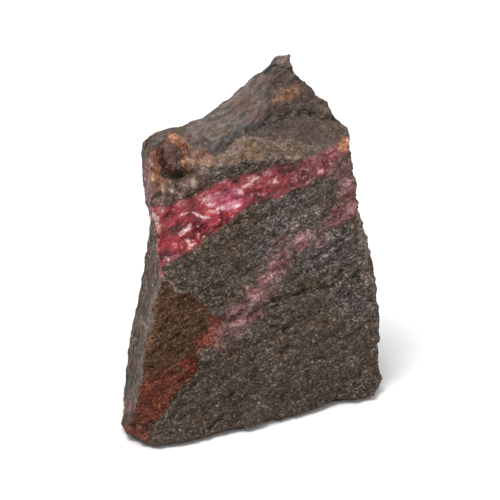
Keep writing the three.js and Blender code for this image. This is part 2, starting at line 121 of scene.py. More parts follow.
# Places on the sighting plane: millimetres right of and above the target, as the eye sees them
VEIN = [(-17.4, -6.6), (-18.0, -3.6), (-16.8, -2.4), (-15.0, -1.6), (-12.0, -0.4), (-9.8, 1.4),
        (-7.0, 3.6), (-4.4, 5.6), (-2.0, 7.6), (0.4, 9.0), (3.2, 10.0), (7.0, 11.0), (10.2, 12.4),
        (13.0, 14.0), (15.0, 15.0), (16.6, 16.4), (18.0, 18.4), (20.0, 20.4), (20.0, 22.0),
        (18.0, 21.6), (15.0, 20.0), (12.4, 18.4), (10.0, 17.8), (6.0, 16.8), (2.4, 16.2),
        (0.0, 15.4), (-3.6, 14.2), (-7.0, 13.2), (-10.0, 11.8), (-12.0, 10.4), (-15.0, 9.4),
        (-17.0, 8.6), (-20.0, 8.8), (-20.0, 5.0), (-18.6, 1.6), (-18.0, -1.2)]
# The vein's pale pink lump: pale crystal, brightened as painted highlight where it faces up
VEIN_PATCH = [(-9.0, 10.0), (-7.6, 11.2), (-5.6, 11.4), (-2.8, 12.0), (-1.2, 11.8), (-1.4, 10.2),
              (-2.4, 8.4), (-4.4, 7.6), (-6.4, 8.2), (-8.0, 9.0)]
PINK_PATCH = [(14.0, 5.6), (15.2, 7.2), (16.6, 8.6), (18.6, 9.6), (21.2, 10.2), (21.4, 7.6),
              (20.0, 6.4), (18.8, 5.6), (17.2, 4.4), (15.2, 4.8)]
PURPLE_END = [(12.6, 18.0), (14.4, 20.0), (17.0, 21.4), (20.0, 22.4), (20.2, 21.0), (18.6, 19.6),
              (17.6, 18.0), (16.4, 16.0), (13.6, 14.4)]
PURPLE_UP = [(17.6, 16.8), (20.4, 18.0), (21.4, 10.4), (18.6, 9.4), (17.6, 11.0), (17.2, 14.0)]
TRAIL = [(13.2, 2.6), (11.0, 2.6), (8.8, 1.0), (6.8, 0.0), (5.2, -2.4), (3.6, -5.4), (2.4, -8.0),
         (1.2, -9.4), (-0.8, -11.8), (-2.2, -13.6), (-3.8, -15.4), (-6.6, -17.4)]
RUST = [(-18.0, -6.6), (-14.0, -8.2), (-10.0, -9.8), (-7.4, -12.4), (-5.2, -14.4), (-7.2, -18.4),
        (-10.0, -20.4), (-10.8, -24.4), (-14.4, -28.8), (-17.4, -32.4), (-21.6, -35.6),
        (-23.2, -33.6), (-22.6, -31.0), (-21.6, -24.0), (-20.0, -17.0), (-18.4, -10.0)]
RUST_ORANGE = [(-10.8, -18.4), (-9.0, -15.6), (-6.8, -13.6), (-5.0, -14.4), (-7.2, -18.0), (-10.0, -20.0)]
CRIMSON_SPOT = [(-14.4, -22.4), (-12.4, -21.2), (-10.6, -21.6), (-10.8, -24.4), (-13.2, -25.2)]
NOTCH = [(-11.2, -20.4), (-11.0, -23.2), (-11.0, -26.4)]
NOOK_BROWN = [(-18.2, 19.6), (-17.2, 21.2), (-15.0, 21.4), (-13.6, 20.4), (-13.0, 18.8), (-13.4, 17.0),
              (-14.8, 15.8), (-16.6, 15.6), (-17.6, 16.8)]
NOOK_RIM = [(-16.2, 22.0), (-14.2, 22.0), (-12.8, 21.0), (-12.2, 18.8), (-12.8, 16.8)]
NOOK_WALL = [(-19.2, 14.6), (-18.9, 17.0), (-18.9, 19.0)]
NOOK_PINK = [(-19.6, 12.0), (-19.4, 14.4), (-18.0, 15.2), (-16.8, 14.4), (-18.0, 12.4)]
HORN_ORANGE = [(4.4, 30.0), (6.0, 32.0), (9.6, 32.8), (9.2, 31.2), (6.8, 29.6)]
LIGHT_BAND = [(-18.0, -22.6), (-14.0, -21.4), (-10.0, -19.4), (-5.6, -16.8), (-2.0, -14.2), (1.0, -9.6)]
BLUE_VALLEY = [(-15.6, 18.6), (-11.0, 18.2), (-7.0, 19.6), (-2.0, 22.8), (2.4, 24.8)]
CRACK = [(2.4, 24.8), (5.0, 26.4), (7.0, 27.2), (10.0, 27.8), (13.6, 27.6), (17.0, 26.4)]
HORN_STEP = [(3.2, 35.4), (5.0, 36.2), (7.0, 36.6), (8.4, 35.8)]
SCOOP = [(-14.0, 19.6), (-12.0, 25.6), (-9.2, 26.8), (-3.6, 31.6), (2.4, 36.4), (6.4, 38.8), (8.6, 39.4),
         (8.2, 36.6), (4.4, 35.2), (3.2, 32.0), (2.6, 27.6), (1.2, 25.2), (-2.0, 23.2), (-7.0, 20.0),
         (-10.4, 18.6)]
LEFT_PURPLE = [(-21.8, 17.0), (-20.0, 18.0), (-19.4, 14.4), (-19.6, 8.8), (-21.0, 8.4)]
SHOULDER = [(-12.6, 16.8), (-12.0, 19.6), (-7.0, 19.2), (-2.0, 22.6), (2.4, 22.4), (8.0, 22.0),
            (12.4, 20.0), (10.0, 18.4), (3.0, 18.0), (-2.0, 17.4), (-5.6, 16.0), (-8.4, 16.4)]
UNDER_LIP = [(-10.8, 10.6), (-7.6, 13.4), (-5.6, 16.0), (-2.0, 17.4), (2.4, 17.8), (8.0, 18.0),
             (11.6, 18.2), (6.0, 16.8), (0.0, 15.4), (-7.0, 13.2)]
OLIVE = [(-19.6, 8.8), (-19.6, 11.6), (-18.0, 13.2), (-14.0, 14.4), (-10.0, 15.6), (-7.6, 14.4),
         (-10.0, 12.0), (-14.4, 9.6)]
LEDGE = [(-5.6, -14.4), (-2.0, -13.2), (2.4, -10.6), (7.0, -9.6), (12.0, -8.4), (16.0, -6.8),
         (19.0, -5.0), (22.6, -6.0)]
LEDGE_TAN = [(-12.4, 16.8), (-12.4, 19.6), (-10.4, 20.8), (-7.6, 18.8), (-8.0, 16.8), (-10.0, 16.0)]
ARRIS = [(-17.4, -4.2), (-18.6, -8.0), (-19.9, -14.0), (-21.3, -20.0), (-22.4, -26.0), (-23.2, -31.0)]
FOOT = [(-26.0, -36.5), (-24.6, -33.0), (-22.4, -34.4), (-19.6, -36.0), (-20.0, -38.6), (-25.0, -38.0)]
PEAK = [(-2.2, 18.0), (0.0, 22.0), (2.4, 22.4), (4.2, 20.0), (2.6, 18.0), (0.0, 17.0)]
SADDLE = [(3.0, 22.6), (3.0, 26.5), (9.0, 27.6), (17.0, 26.0), (20.0, 24.0), (12.0, 21.5)]
# RUST_TOP carries a painted highlight along the rust face's top edge
RUST_TOP = [(-17.4, -6.6), (-15.4, -7.4), (-13.4, -8.6)]
RIGHT_ARRIS = [(21.8, 8.0), (22.6, 2.0), (23.6, -6.0)]
# White crystal flakes in the vein, painted bright as highlights as well
FLAKE_GLINT_LINES = [[(-19.8, 7.6), (-19.0, 6.0), (-18.6, 5.2)], [(-11.2, 7.3), (-8.8, 6.7)],
        [(-13.8, 3.1), (-12.2, 4.2)], [(-12.4, 1.8), (-11.6, 0.9)], [(-16.8, -1.4), (-16.4, -3.2)]]
FLANK = [(-9.6, 15.6), (-6.0, 17.8), (-3.0, 20.2), (-0.8, 21.8)]
# PEAK_RIDGE carries a painted highlight along the peak's ridge
PEAK_RIDGE = [(-0.8, 21.8), (1.6, 22.6), (4.6, 20.9), (8.6, 21.8), (13.0, 20.4)]
PEAK_SHADE = [(4.4, 20.4), (2.8, 18.2)]

# Round spots on the sighting plane, each a place and a radius
AMBER_SPOTS = [((18.9, 21.6), 1.7), ((-13.4, 21.2), 1.2), ((-18.4, 4.0), 0.6)]
HOLE_SPOTS = [((-10.2, 4.6), 1.6), ((-15.6, 9.0), 1.0), ((-2.6, 13.0), 0.8)]
CRYSTAL_SPOTS = [((12.4, 3.2), 1.6), ((12.8, 7.8), 0.9), ((3.6, -5.8), 1.2), ((8.6, 4.6), 1.0),
                 ((13.8, 0.6), 0.9), ((2.4, 9.4), 0.8), ((6.6, 37.8), 1.6)]
SLATE_SPOTS = [((8.0, 7.0), 6.5), ((15.0, 0.0), 7.5), ((20.5, -9.0), 6.0), ((4.0, -0.5), 5.0)]
SHADY_SPOTS = [((20.6, -7.6), 3.2), ((-7.2, -20.2), 2.4), ((-10.0, 20.8), 2.4), ((13.2, 2.4), 1.6),
               ((15.6, 7.0), 1.4), ((18.0, 4.6), 1.4), ((-9.0, -8.0), 4.0), ((9.0, -8.8), 2.4),
               ((21.5, -29.0), 4.0), ((-13.0, -26.0), 2.5)]
ROSE_SPOTS = [((0.6, -8.4), 2.2), ((-2.6, -12.6), 2.8), ((2.8, -6.0), 1.6), ((9.8, 1.8), 2.2),
              ((7.0, -2.0), 2.4), ((-6.2, -16.6), 1.2), ((1.0, -12.6), 1.8),
              ((5.0, -4.4), 2.2), ((-24.2, -31.5), 1.8)]

# Cracks and hollows, each a line, how far it reaches to either side, and its share of GROOVE_DEPTH
GROOVES = [(CRACK, 0.8, 1.0), (HORN_STEP, 0.7, 1.0), (NOTCH, 1.0, 1.3), (BLUE_VALLEY, 1.8, 0.8),
           (NOOK_RIM, 0.5, 0.8), (LEDGE, 1.2, 0.9)]


# Repeatable noise

def scramble(x, y, z, seed):
    """A number between 0 and 1 for each whole-numbered cell."""
    mixed = (x * 374761393 + y * 668265263 + z * 1274126177 + seed * 974711) & 0xFFFFFFFF
    mixed = ((mixed ^ (mixed >> 13)) * 1103515245) & 0xFFFFFFFF
    mixed = ((mixed ^ (mixed >> 15)) * 2246822519) & 0xFFFFFFFF
    return ((mixed ^ (mixed >> 16)) & 0xFFFFFF) / float(0xFFFFFF)


# A turn that keeps the noise's grid off the stone's own directions
TURN = np.array([[0.36, 0.48, -0.8], [-0.8, 0.6, 0.0], [0.48, 0.64, 0.6]])


def noise(points, length, seed):
    """Smooth noise between -1 and 1 whose lumps are about length across."""
    at = points @ TURN / length + seed * 3.7
    cell = np.floor(at).astype(np.int64)
    part = at - cell
    part = part * part * (3 - 2 * part)
    total = np.zeros(len(points))
    for dx in (0, 1):
        for dy in (0, 1):
            for dz in (0, 1):
                weight = (abs(1 - dx - part[:, 0]) * abs(1 - dy - part[:, 1]) * abs(1 - dz - part[:, 2]))
                total += weight * scramble(cell[:, 0] + dx, cell[:, 1] + dy, cell[:, 2] + dz, seed)
    return total * 2 - 1


def layered(points, length, seed, layers=3):
    """Noise with finer and fainter noise on top."""
    total = np.zeros(len(points))
    strength = 1.0
    for layer in range(layers):
        total += strength * noise(points, length / 2 ** layer, seed + layer)
        strength *= 0.55
    return total


def facets(points, length, seed, tilt=1.6):
    """Small flat facets, each tilted its own way: their height, and how far the middle is."""
    at = points / length + seed * 1.9
    cell = np.floor(at).astype(np.int64)
    nearest = np.full(len(points), 1e9)
    height = np.zeros(len(points))
    for dx in (-1, 0, 1):
        for dy in (-1, 0, 1):
            for dz in (-1, 0, 1):
                x, y, z = cell[:, 0] + dx, cell[:, 1] + dy, cell[:, 2] + dz
                jitter = np.stack([scramble(x, y, z, seed + k) for k in range(3)], 1)
                slope = np.stack([scramble(x, y, z, seed + k) for k in range(3, 6)], 1) - 0.5
                offset = at - (np.stack([x, y, z], 1) + jitter)
                away = (offset ** 2).sum(1)
                closer = away < nearest
                rise = scramble(x, y, z, seed + 6) - 0.5 + (offset * slope).sum(1) * tilt
                height = np.where(closer, rise, height)
                nearest = np.where(closer, away, nearest)
    return height, np.sqrt(nearest)


def stretched(points, along, stack, long, thick):
    """Places along the sheets and through them, in units of the sheets' length and thickness."""
    along, stack = np.array(along), np.array(stack)
    through = np.cross(along, stack)
    return np.stack([points @ along / long, points @ stack / thick, points @ through / (long * 0.6)], 1)


def ramp(value, low, high):
    """0 below low, 1 above high, smooth between."""
    part = np.clip((value - low) / (high - low), 0, 1)
    return part * part * (3 - 2 * part)


# Distances on the sighting plane

def line_distance(spots, line):
    """Distance from each spot to a bent line."""
    nearest = np.full(len(spots), 1e9)
    for start, end in zip(line[:-1], line[1:]):
        start, way = np.array(start), np.array(end) - np.array(start)
        along = np.clip((spots - start) @ way / (way @ way), 0, 1)
        nearest = np.minimum(nearest, np.linalg.norm(spots - start - along[:, None] * way, axis=1))
    return nearest


def inside_distance(spots, outline):
    """Distance from each spot to an outline: positive inside it, negative outside."""
    closed = outline + outline[:1]
    away = line_distance(spots, closed)
    inside = np.zeros(len(spots), bool)
    for (x0, y0), (x1, y1) in zip(closed[:-1], closed[1:]):
        if y0 == y1:
            continue
        crosses = (y0 > spots[:, 1]) != (y1 > spots[:, 1])
        inside ^= crosses & (spots[:, 0] < (x1 - x0) * (spots[:, 1] - y0) / (y1 - y0) + x0)
    return np.where(inside, away, -away)


# The net

def read_node(name):
    """The CAD node's points in millimetres, shared where its faces meet, and its triangles."""
    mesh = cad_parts[name].data
    mesh.calc_loop_triangles()
    points = np.zeros(len(mesh.vertices) * 3)
    mesh.vertices.foreach_get("co", points)
    triangles = np.zeros(len(mesh.loop_triangles) * 3, np.int32)
    mesh.loop_triangles.foreach_get("vertices", triangles)
    points = np.round(points.reshape(-1, 3) / MM, 4)
    shared, number = np.unique(points, axis=0, return_inverse=True)
    return shared, number.reshape(-1)[triangles.reshape(-1, 3)]


def net_edges(triangles):
    """Each pair of joined points once, and the number of each triangle's three pairs."""
    pairs = np.sort(triangles[:, [[0, 1], [1, 2], [2, 0]]].reshape(-1, 2), axis=1).astype(np.int64)
    size = int(triangles.max()) + 1
    keys, number = np.unique(pairs[:, 0] * size + pairs[:, 1], return_inverse=True)
    return np.stack([keys // size, keys % size], 1), number.reshape(-1, 3)


def rolled(rows, shift):
    """Each row of three turned so that the column given in shift comes first."""
    return np.take_along_axis(rows, (shift[:, None] + np.arange(3)) % 3, axis=1)


def split_long(points, triangles, allowed):
    """Halves every edge that is too long for its ends, and says whether there was one."""
    pairs, number = net_edges(triangles)
    length = np.linalg.norm(points[pairs[:, 0]] - points[pairs[:, 1]], axis=1)
    cut = length > allowed[pairs].mean(1) * SPLIT_OVER
    made = np.full(len(pairs), -1)
    made[cut] = len(points) + np.arange(cut.sum())
    half = made[number]
    count = (half >= 0).sum(1)
    points = np.vstack([points, points[pairs[cut]].mean(1)])
    allowed = np.concatenate([allowed, allowed[pairs[cut]].mean(1)])
    kept = [triangles[count == 0]]
    whole, mid = triangles[count == 3], half[count == 3]
    kept.append(np.stack([whole[:, 0], mid[:, 0], mid[:, 2]], 1))
    kept.append(np.stack([mid[:, 0], whole[:, 1], mid[:, 1]], 1))
    kept.append(np.stack([mid[:, 2], mid[:, 1], whole[:, 2]], 1))
    kept.append(mid)
    turn = (half[count == 1] >= 0).argmax(1)
    whole, mid = rolled(triangles[count == 1], turn), rolled(half[count == 1], turn)
    kept.append(np.stack([whole[:, 0], mid[:, 0], whole[:, 2]], 1))
    kept.append(np.stack([mid[:, 0], whole[:, 1], whole[:, 2]], 1))
    turn = (half[count == 2] < 0).argmax(1)
    whole, mid = rolled(triangles[count == 2], turn), rolled(half[count == 2], turn)
    p, q, r, qr, rp = whole[:, 0], whole[:, 1], whole[:, 2], mid[:, 1], mid[:, 2]
    short = np.linalg.norm(points[p] - points[qr], axis=1) < np.linalg.norm(points[q] - points[rp], axis=1)
    kept.append(np.stack([qr, r, rp], 1))
    kept.append(np.where(short[:, None], np.stack([p, q, qr], 1), np.stack([p, q, rp], 1)))
    kept.append(np.where(short[:, None], np.stack([p, qr, rp], 1), np.stack([q, qr, rp], 1)))
    return points, np.vstack(kept), allowed, bool(cut.any())


def smoothed(points, triangles, rounds):
    """Rounds the net off without shrinking it."""
    pairs, _ = net_edges(triangles)
    count = np.bincount(pairs.reshape(-1), minlength=len(points))[:, None]
    for _ in range(rounds):
        for step in (0.5, -0.53):
            total = np.zeros_like(points)
            for axis in range(3):
                total[:, axis] = np.bincount(pairs[:, 0], points[pairs[:, 1], axis], len(points))
                total[:, axis] += np.bincount(pairs[:, 1], points[pairs[:, 0], axis], len(points))
            points = points + step * (total / count - points)
    return points


def normals_of(points, triangles):
    """The way that the net faces at each point."""
    corner = points[triangles]
    across = np.cross(corner[:, 1] - corner[:, 0], corner[:, 2] - corner[:, 0])
    total = np.zeros_like(points)
    for axis in range(3):
        for k in range(3):
            total[:, axis] += np.bincount(triangles[:, k], across[:, axis], len(points))
    return total / np.maximum(np.linalg.norm(total, axis=1), 1e-12)[:, None]


# The eye

def eye_axes():
    """The ways that are right, up and back as the eye sees them."""
    back = np.array([math.sin(EYE_AZIMUTH) * math.cos(EYE_ELEVATION),
                     -math.cos(EYE_AZIMUTH) * math.cos(EYE_ELEVATION), math.sin(EYE_ELEVATION)])
    right = np.cross(-back, [0.0, 0.0, 1.0])
    right /= np.linalg.norm(right)
    return right, np.cross(right, -back), back


def sighted(points):
    """Where the eye sees each point, in millimetres on the plane through the target."""
    right, up, back = eye_axes()
    away = points - (EYE_TARGET + back * EYE_DISTANCE)
    scale = EYE_DISTANCE / (away @ -back)
    return np.stack([away @ right * scale, away @ up * scale], 1)


def ragged_sight(points, amount=1.0):
    """Where the eye sees each point, moved about a little so that borders come out uneven."""
    shift = [0.9 * noise(points, 3.0, seed) + 0.5 * noise(points, 1.0, seed + 1) for seed in (81, 85)]
    return sighted(points) + amount * np.stack(shift, 1)


# The stone's regions, each a value for every point

def regions(points, normals):
    """How strongly each kind of stone, painted shade and painted highlight shows at each point. Distances
    are in millimetres.
    """
    _, _, back = eye_axes()
    spots = ragged_sight(points, 0.8)
    seen = ramp(normals @ back, 0.0, 0.2)
    hidden = -9.0 * (1 - seen)

    def near(line, width):
        return (1 - ramp(line_distance(spots, line), width * 0.3, width)) * seen

    def within(outline, soft):
        return ramp(inside_distance(spots, outline), -soft, soft) * seen

    def around(places):
        rounds = [1 - ramp(np.linalg.norm(spots - place, axis=1), radius * 0.5, radius * 1.2)
                  for place, radius in places]
        return np.maximum.reduce(rounds) * seen

    level = FAR_VEIN_HEIGHT + FAR_VEIN_RISE * points[:, 0] + 2.5 * noise(points, 14.0, 71)
    half = FAR_VEIN_HALF * ramp(points[:, 0], -20, 8) * (1 + 0.7 * layered(points, 7.0, 75))
    far_vein = half - np.abs(points[:, 2] - level) - 9.0 * seen
    far_rust = 6.0 * (layered(points, 17.0, 73) - 0.72) - 9.0 * seen
    far_rose = 0.55 * ramp(layered(points, 12.0, 77), 0.5, 1.0) * (1 - seen)
    left = ramp(-normals[:, 0], 0.6, 0.85) * ramp(-points[:, 0], 12, 14)
    return {
        "vein": np.maximum(inside_distance(ragged_sight(points, 0.4), VEIN) + hidden, far_vein),
        # Pale pink crystal with a painted highlight where it faces up
        "patch": within(VEIN_PATCH, 0.5),
        "white_flake_glint": 0.6 * np.maximum.reduce([near(line, 0.8) for line in FLAKE_GLINT_LINES]),
        # Painted shade in the vein's holes
        "hole_shade": around(HOLE_SPOTS),
        "rose": np.maximum.reduce([
            0.85 * within(PINK_PATCH, 0.6), 0.6 * within(PURPLE_END, 1.5), 0.75 * within(PURPLE_UP, 2.0),
            0.36 * near(TRAIL, 4.0), 0.7 * around(ROSE_SPOTS), 0.7 * within(LEFT_PURPLE, 1.2), far_rose]),
        "rust": np.maximum(inside_distance(spots, RUST) + hidden, far_rust),
        "rust_red": np.maximum.reduce([
            0.72 * within(RUST_ORANGE, 1.2), within(CRIMSON_SPOT, 1.2),
            ramp(-spots[:, 1], 22.0, 26.0) * within(RUST, 1.0) * 0.6, 0.8 * within(FOOT, 1.2)]),
        "amber": np.maximum.reduce([
            0.68 * near(NOOK_RIM, 1.5), 0.7 * near(NOOK_WALL, 1.3), 0.56 * within(HORN_ORANGE, 1.2),
            0.6 * within(NOOK_PINK, 0.8), 0.42 * within(LEDGE_TAN, 1.4), 0.8 * around(AMBER_SPOTS)]),
        "nook": within(NOOK_BROWN, 0.6),
        "pale": within(SCOOP, 0.9),
        "side": left,
        "tan": within(SHOULDER, 0.9),
        "slate": np.maximum(near(BLUE_VALLEY, 2.8), 0.65 * around(SLATE_SPOTS)),
        # Painted shade in cracks, grooves, pits, the valley, under the lip and below the ledge
        "painted_shade": np.maximum.reduce([
            0.7 * near(BLUE_VALLEY, 1.4), near(CRACK, 0.8), near(HORN_STEP, 0.6), near(NOTCH, 1.0),
            0.8 * within(UNDER_LIP, 0.8), 0.7 * around(SHADY_SPOTS), 0.6 * near(LEDGE, 1.4),
            0.6 * near(PEAK_SHADE, 0.9)]),
        "olive": within(OLIVE, 1.0),
        # Lighter stone: worn arrises, crystals, bands and tan ledges, with painted highlights on the
        # peak's ridge and the rust face's top edge
        "light": np.maximum.reduce([
            0.5 * near(FLANK, 1.8), 0.5 * near(PEAK_RIDGE, 0.7),
            0.55 * near(LIGHT_BAND, 0.9), 0.45 * near(ARRIS, 1.0), 0.7 * around(CRYSTAL_SPOTS),
            0.8 * near(RUST_TOP, 0.8), 0.5 * near(RIGHT_ARRIS, 1.4), 0.9 * within(NOOK_PINK, 0.8),
            0.6 * within(LEDGE_TAN, 1.0)]),
        "peak": within(PEAK, 0.8),
        # Painted shade, strongest low down and in the saddle
        "painted_dimming": np.maximum(ramp(-spots[:, 1], 12.0, 32.0), within(SADDLE, 2.0)) * seen,
        "fade": ramp(spots[:, 0], -3.0, 13.0) * seen,
        "high": ramp(spots[:, 1], 16.0, 21.0),
    }


def grooves(points, normals):
    """How far the nook's lump stands out and the named cracks and hollows go in, in millimetres."""
    _, _, back = eye_axes()
    spots = ragged_sight(points)
    seen = ramp(normals @ back, 0.0, 0.2)
    deep = np.zeros(len(points))
    for line, reach, depth in GROOVES:
        deep = np.maximum(deep, depth * (1 - ramp(line_distance(spots, line), 0.0, reach)))
    for place, radius in HOLE_SPOTS:
        deep = np.maximum(deep, 1.4 * (1 - ramp(np.linalg.norm(spots - place, axis=1), 0.0, radius)))
    rim = np.abs(inside_distance(spots, NOOK_BROWN) + 0.4)
    deep = np.maximum(deep, 1.1 * (1 - ramp(rim, 0.0, 0.9)))
    high = 1.4 * ramp(inside_distance(spots, NOOK_BROWN), 0.0, 1.8)
    return (high - deep) * seen * GROOVE_DEPTH


def relief(points, kind, sharp, rim, far):
    """How far the broken surface stands out at each point, in millimetres. Sharp says where an edge
    is, rim where the eye sees the surface side on or not at all, and far where it faces away. Each
    pattern is given its length, then its seed."""
    vein = ramp(kind["vein"], -0.2, 0.5)
    calm = np.maximum.reduce([0.75 * kind["pale"], 0.5 * kind["side"], 0.55 * kind["high"]])
    front = stretched(points, SHEET_ALONG, SHEET_STACK, 3.4, 0.85)
    swept = stretched(points, SWEPT_ALONG, SWEPT_STACK, 6.0, 0.9)
    lumps = layered(points, 5.5, 11) * LUMP_HEIGHT
    streaks = layered(front, 1.0, 15) * STREAK_HEIGHT
    sweeps = layered(swept, 1.0, 17) * STREAK_HEIGHT * 0.8
    way = (points @ np.array(SHEET_STACK) + 1.6 * layered(points, 9.0, 19)) / STEP_SPACING
    rise = way - np.floor(way)
    plates = facets(stretched(points, SHEET_ALONG, SHEET_STACK, 4.2, 1.5), 1.0, 25)[0] * PLATE_HEIGHT
    steps = STEP_HEIGHT * (rise - ramp(rise, 0.8, 1.0)) * ramp(layered(points, 7.0, 23), -0.5, 0.4)
    chips = facets(points, 2.2, 31)[0] * CHIP_HEIGHT
    grain = facets(points, 0.75, 33)[0] * GRAIN_HEIGHT + noise(points, 0.5, 35) * 0.04
    rock = (streaks + steps + chips + plates) * (1 - calm)
    rock = rock + sweeps * kind["pale"] + lumps * (1 - 0.6 * calm)
    rock += grain * (1 - 0.75 * calm)
    folds = layered(stretched(points, SWEPT_ALONG, SWEPT_STACK, 5.0, 1.1), 1.0, 27) * FOLD_HEIGHT
    ribs = layered(points * [0.9, 0.9, 0.16], 1.0, 29) * FOLD_HEIGHT
    rock += folds * kind["tan"] + ribs * kind["side"]
    rock *= 1 - 0.55 * rim
    thick = (1 - kind["high"]) * (1 - sharp)
    rock -= far * thick * np.abs(layered(points, FAR_CREASE_LENGTH, 91)) * FAR_CREASE_DEPTH
    _, middle = facets(points, 1.9, 37)
    rock += kind["olive"] * (0.45 - middle) * 0.7
    blocks = facets(stretched(points, SHEET_ALONG, SHEET_STACK, 3.4, 1.5), 1.0, 41)[0]
    bars = facets(points * [2.0, 1.0, 0.5], 1.6, 51)[0]
    shards = facets(points, 5.0, 47)[0]
    glass = (blocks + 1.4 * shards) * CRYSTAL_HEIGHT + bars * 0.2 * (0.4 + kind["fade"])
    glass += 0.15 * layered(points, 1.4, 45)
    broken = np.abs(facets(points, 2.8, 61)[0]) * ramp(layered(points, 6.0, 63), -0.4, 0.6)
    rock = rock * (1 - vein) + glass * vein * (1 - 0.4 * rim)
    return rock - EDGE_CHIP * sharp * broken * (1 - 0.6 * rim)


def refined_net():
    """The CAD solid's net with shorter edges, above all where the eye sees it, and rounded a little."""
    points, triangles = read_node("rough")
    _, _, back = eye_axes()
    seen = ramp(normals_of(points, triangles) @ back, -0.1, 0.15)
    allowed = HIDDEN_EDGE + (SEEN_EDGE - HIDDEN_EDGE) * seen
    in_vein = (inside_distance(sighted(points), VEIN) > -1.5) & (seen > 0.5)
    allowed = np.where(in_vein, VEIN_EDGE, allowed)
    allowed = np.where(points[:, 2] < BASE_BELOW, BASE_EDGE, allowed)
    for step in range(SPLIT_ROUNDS):
        points, triangles, allowed, more = split_long(points, triangles, allowed)
        if not more:
            break
        if step in ROUNDED_IN:
            rounded = smoothed(points, triangles, 1)
            points = np.where(points[:, 2:] < FLAT_BELOW, points, rounded)
    return points, triangles


def broken_up(points, triangles):
    """The net's points with the surface broken up, and the strength of each region at them."""
    _, _, back = eye_axes()
    flat = points[:, 2] < FLAT_BELOW
    normals = normals_of(points, triangles)
    broad = normals_of(smoothed(points, triangles, BROAD_ROUNDS), triangles)
    kind = regions(points, broad)
    sharp = ramp(1 - (normals * broad).sum(1), 0.01, 0.09)
    rim = 1 - ramp(broad @ back, 0.1, 0.5)
    far = ramp(-(broad @ back), 0.2, 0.6)
    out = relief(points, kind, sharp, rim, far) + grooves(points, broad)
    out *= ramp(points[:, 2], 0.0, 1.0)
    points = points + normals * np.where(flat, 0.0, out)[:, None]
    low, high = np.array(cad_box[0]) / MM, np.array(cad_box[1]) / MM
    return np.clip(points, low, high), kind


def build_stone():
    """The stone as one mesh, with its regions as attributes for the material."""
    points, triangles = refined_net()
    points, kind = broken_up(points, triangles)
    mesh = bpy.data.meshes.new("stone")
    mesh.vertices.add(len(points))
    mesh.vertices.foreach_set("co", (points * MM).reshape(-1))
    mesh.loops.add(len(triangles) * 3)
    mesh.loops.foreach_set("vertex_index", triangles.reshape(-1).astype(np.int32))
    mesh.polygons.add(len(triangles))
    mesh.polygons.foreach_set("loop_start", np.arange(0, len(triangles) * 3, 3, dtype=np.int32))
    mesh.update(calc_edges=True)
    mesh.validate()
    mesh.polygons.foreach_set("use_smooth", np.ones(len(mesh.polygons), bool))
    for name, values in kind.items():
        layer = mesh.attributes.new(name, "FLOAT", "POINT")
        layer.data.foreach_set("value", values.astype(np.float32))
    stone = bpy.data.objects.new("stone", mesh)
    bpy.context.scene.collection.objects.link(stone)
    print("stone has", len(triangles), "triangles")
    return stone


# Material nodes

def linear(red, green, blue):
    """A screen colour from 0 to 255 as the linear colour that Blender takes."""
    parts = []
    for value in (red, green, blue):
        value = value / 255
        parts.append(value / 12.92 if value <= 0.04045 else ((value + 0.055) / 1.055) ** 2.4)
    return (*parts, 1.0)


